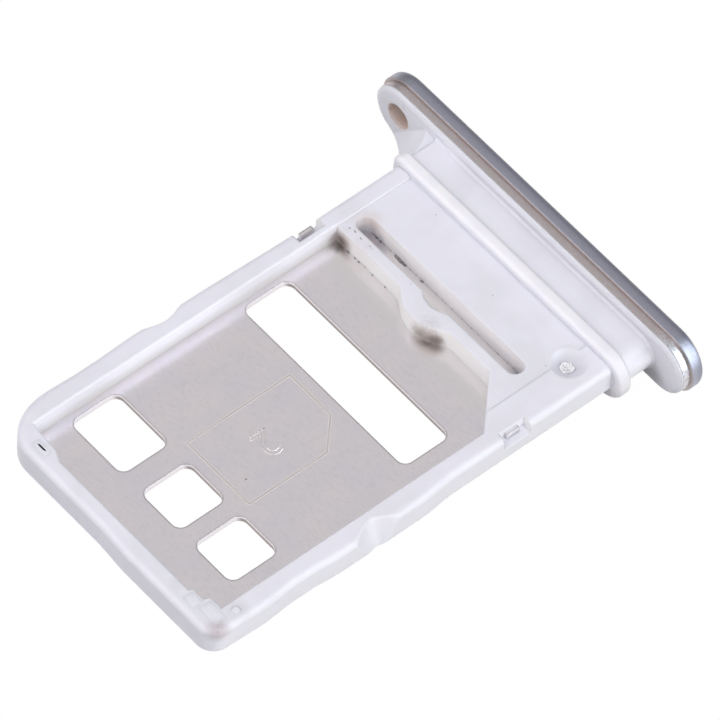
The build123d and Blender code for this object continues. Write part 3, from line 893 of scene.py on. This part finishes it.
# %% Places of the grains
DECK_FAR, DECK_FALL, DECK_SHRINK, DECK_DRAWN = 0.722, 0.0083, 0.7, 2.4
DECK_GRAINS = (
    (12.846, -0.304, 0.030), (12.884, -0.517, 0.036), (12.849, -0.839, 0.036),
    (12.870, -1.255, 0.026), (12.867, -1.377, 0.022), (12.883, -2.758, 0.018),
    (12.895, -3.182, 0.022), (15.30, -1.60, 0.018), (14.10, -8.20, 0.022), (14.60, -5.10, 0.016),
)
FOOT_X, FOOT_UP, FOOT_DRAWN = 12.585, 0.01, 1.4
FOOT_GRAINS = (
    (-0.45, 0.045), (-0.60, 0.05), (-0.91, 0.035), (-1.10, 0.028),
    (-1.37, 0.024), (-1.75, 0.02), (-2.35, 0.03),
)
BLOB_X, BLOB_UP, BLOB_SHRINK, BLOB_DRAWN = 13.64, 0.02, 0.85, 1.7
BLOBS = (
    (-0.56, 0.022), (-0.72, 0.036), (-0.92, 0.028), (-1.68, 0.070),
    (-1.85, 0.085), (-2.05, 0.070), (-2.90, 0.05),
)
ROW_X, ROW_UP, ROW_DRAWN = 13.655, 0.005, 5.0
ROW_COUNT, ROW_START, ROW_STEP = 46, -0.45, 0.155
ROW_RADIUS, ROW_SWING, ROW_DRIFT = 0.006, 0.004, 0.0015
SPECKS = (
    (3.55, -8.92, 0.01, 0.04, 1.2),
    (-0.30, -9.52, 0.76, 0.03, 1.0),
    (4.44, -5.29, 0.005, 0.035, 1.1),
)
grains = [(x, y, DECK_FAR - DECK_FALL * y, DECK_SHRINK * r, DECK_DRAWN) for x, y, r in DECK_GRAINS]
grains += [(FOOT_X, y, FOOT_UP, r, FOOT_DRAWN) for y, r in FOOT_GRAINS]
grains += [(BLOB_X, y, BLOB_UP, BLOB_SHRINK * r, BLOB_DRAWN) for y, r in BLOBS]
for step in range(ROW_COUNT):
    swing = ROW_SWING * math.sin(2.3 * step) + ROW_DRIFT * math.sin(0.7 * step)
    grains.append((ROW_X, ROW_START - ROW_STEP * step, ROW_UP, ROW_RADIUS + swing, ROW_DRAWN))
grains += SPECKS
print("dirt grains", len(grains))

# %% [markdown]
# Each grain is a small ball, turned, flattened and drawn out by its own amount. All of them are
# joined to one piece, because a hundred loose balls would be hard to handle.

# %% Dirt grains
GRAIN_TURN, GRAIN_WIDTH, GRAIN_VARY, GRAIN_FLAT = 0.3, 0.8, 0.3, 0.35
SOOT, DUST = (0.17, 0.16, 0.16), (0.42, 0.39, 0.385)
bpy.ops.object.select_all(action="DESELECT")
made = []
for number, (x, y, z, size, drawn) in enumerate(grains):
    bpy.ops.mesh.primitive_ico_sphere_add(
        subdivisions=2,
        radius=size * MM,
        location=seat(x, y, z),
        rotation=(0, 0, GRAIN_TURN * math.sin(5.0 * number)),
    )
    grit = bpy.context.object
    grit.scale = (GRAIN_WIDTH + GRAIN_VARY * math.sin(3.0 * number), drawn, GRAIN_FLAT)
    made.append(grit)
for grit in made:
    grit.select_set(True)
bpy.context.view_layer.objects.active = made[0]
settle()
bpy.ops.object.join()
dirt = bpy.context.object
dirt.name = "dirt_grains"
grime, tree, shader = new_material("grime", Roughness=0.8)
clump = grain_height(tree, 0.06, 3.0)
colour = layer(tree, SOOT, DUST, spread(tree, clump, 0.4, 0.65))
tree.links.new(colour, shader.inputs["Base Color"])
surface(tree, shader, 0.01, ((clump, 0.02),))
dirt.data.materials.append(grime)
bpy.ops.object.shade_smooth()
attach(dirt, "root")
print("dirt faces", len(dirt.data.polygons))

# %% [markdown]
# ## Fill light
#
# The photograph is a catalogue picture with hardly any shade in it: every wall is nearly as bright
# as the top faces. The world is only a weak white fill, a little stronger from above and behind.

# %% World
BRIGHT_SIDE = Vector((-0.10, 0.62, 0.78))
FILL_LOW, FILL_HIGH = 0.16, 0.46
world = bpy.data.worlds.new("studio")
bpy.context.scene.world = world
world.use_nodes = True
sky = world.node_tree
direction = sky.nodes.new("ShaderNodeTexCoord")
facing = sky.nodes.new("ShaderNodeVectorMath")
facing.operation = "DOT_PRODUCT"
facing.inputs[1].default_value = BRIGHT_SIDE.normalized()
sky.links.new(direction.outputs["Generated"], facing.inputs[0])
strength = spread(sky, facing.outputs["Value"], -1.0, 1.0, FILL_LOW, FILL_HIGH)
sky.links.new(strength, sky.nodes["Background"].inputs["Strength"])
sky.nodes["Background"].inputs["Color"].default_value = (1.0, 1.0, 1.0, 1.0)
print("world", world.name)

# %% [markdown]
# ## Softboxes
#
# Four very wide softboxes light the tray, before the tip, on both long sides and overhead, and
# their shadows are too soft to see. The two beside the tray are kept out of reflections, so that
# the steel does not burn out when it is seen from the cap. Three more lamps are mirrored by the
# metal and light nothing else: a panel behind the tray, which the steel plate and the flat of the
# rim reflect, and two cool boxes beside the cap, for the glint on its near end. Where the rim turns
# away from the panel it falls off to a darker grey.

# %% Softboxes
PLAIN_WHITE, TIP_WARM = (1.0, 1.0, 1.0), (1.0, 0.965, 0.98)
SIDE_COOL, END_COOL = (0.84, 0.95, 1.0), (0.80, 0.93, 1.0)


def softbox(name, location, size, power, colour=PLAIN_WHITE, glint_only=False, mirrored=True):
    """Square area lamp that faces the tray. A glint lamp shows in reflections only."""
    data = bpy.data.lights.new(name, "AREA")
    data.shape = "SQUARE"
    data.size = size
    data.energy = power
    data.color = colour
    lamp = bpy.data.objects.new(name, data)
    bpy.context.scene.collection.objects.link(lamp)
    lamp.location = location
    lamp.visible_diffuse = not glint_only
    lamp.visible_glossy = mirrored
    lamp.rotation_euler = (-Vector(location)).to_track_quat("-Z", "Y").to_euler()
    print("softbox", name, "power", power)


softbox("tip_box", (-0.35, 0.10, 0.34), 0.50, 0.92, TIP_WARM)
softbox("far_box", (-0.20, 0.40, 0.24), 0.50, 0.72, mirrored=False)
softbox("near_box", (-0.02, -0.48, 0.17), 0.60, 2.60, mirrored=False)
softbox("top_box", (-0.12, -0.15, 0.46), 0.50, 0.40)
softbox("mirror_panel", (0.24, 0.26, 0.49), 0.50, 0.20, glint_only=True)
softbox("side_box", (0.207, -0.41, 0.19), 0.70, 3.80, SIDE_COOL, glint_only=True)
softbox("end_box", (0.42, -0.24, 0.10), 0.30, 0.60, END_COOL, glint_only=True)

# %% [markdown]
# ## Floor
#
# The tray rests on its cap and on the edge of its tip, so it leans by about two degrees. The floor
# is turned instead of the tray, which keeps the frame in place. To the camera, and in reflections,
# the floor is plain white, with a small share of real light in it so that a faint shadow stays.

# %% Floor
FLOOR_SIZE = 0.6
FLOOR_GREY, FLOOR_GLOW, FLOOR_GLOW_SHARE = (0.25, 0.25, 0.25, 1.0), 1.05, 0.94
TIP_FOOT_X, CAP_FOOT_X = -0.665, 17.8
tip_low = seat(TIP_FOOT_X, 0, -PLATE_THICKNESS)
cap_foot = seat(CAP_FOOT_X, 0)
lean = math.atan2(tip_low.z, cap_foot.x - tip_low.x)
bpy.ops.object.select_all(action="DESELECT")
bpy.ops.mesh.primitive_plane_add(
    size=FLOOR_SIZE, location=(cap_foot.x, 0, 0), rotation=(0, lean, 0)
)
floor = bpy.context.object
floor.name = "floor"
floor_white, tree, shader = new_material(
    "pale_floor", Base_Color=FLOOR_GREY, Roughness=0.9, Specular_IOR_Level=0.0
)
glow = tree.nodes.new("ShaderNodeEmission")
glow.inputs["Strength"].default_value = FLOOR_GLOW
shaded = tree.nodes.new("ShaderNodeMixShader")
shaded.inputs["Fac"].default_value = FLOOR_GLOW_SHARE
tree.links.new(shader.outputs["BSDF"], shaded.inputs[1])
tree.links.new(glow.outputs["Emission"], shaded.inputs[2])
path = tree.nodes.new("ShaderNodeLightPath")
seen = path.outputs["Is Camera Ray"]
for ray in ("Is Transmission Ray", "Is Glossy Ray"):
    seen = math_node(tree, "MAXIMUM", seen, path.outputs[ray])
either = tree.nodes.new("ShaderNodeMixShader")
tree.links.new(seen, either.inputs["Fac"])
tree.links.new(shader.outputs["BSDF"], either.inputs[1])
tree.links.new(shaded.outputs["Shader"], either.inputs[2])
tree.links.new(either.outputs["Shader"], tree.nodes["Material Output"].inputs["Surface"])
floor.data.materials.append(floor_white)
print("floor leans", round(math.degrees(lean), 2), "degrees")

# %% [markdown]
# ## Camera
#
# The camera stands where the photograph was taken from: a long lens, so that the tray's edges stay
# nearly parallel, about 53 degrees above the floor and turned a little about its own axis.

# %% Camera
CAMERA_TARGET = (10.144, -4.017)
CAMERA_DISTANCE = 341.75 * MM
CAMERA_ELEVATION = math.radians(53.506)
CAMERA_AZIMUTH = math.radians(-134.107)
CAMERA_ROLL = math.radians(4.477)
SENSOR_WIDTH, LENS = 36.0, 550.7
away = Vector((
    math.cos(CAMERA_ELEVATION) * math.cos(CAMERA_AZIMUTH),
    math.cos(CAMERA_ELEVATION) * math.sin(CAMERA_AZIMUTH),
    math.sin(CAMERA_ELEVATION),
))
camera_data = bpy.data.cameras.new("camera")
camera_data.sensor_width = SENSOR_WIDTH
camera_data.lens = LENS
camera_data.clip_start = 0.01
camera_data.clip_end = 5.0
camera = bpy.data.objects.new("camera", camera_data)
bpy.context.scene.collection.objects.link(camera)
camera.location = seat(*CAMERA_TARGET) + away * CAMERA_DISTANCE
camera.rotation_mode = "QUATERNION"
aim = (-away).to_track_quat("-Z", "Y")
camera.rotation_quaternion = aim @ Quaternion((0, 0, 1), CAMERA_ROLL)
bpy.context.scene.camera = camera
bpy.context.scene.view_settings.view_transform = "Standard"
print("camera at", [round(v, 4) for v in camera.location])
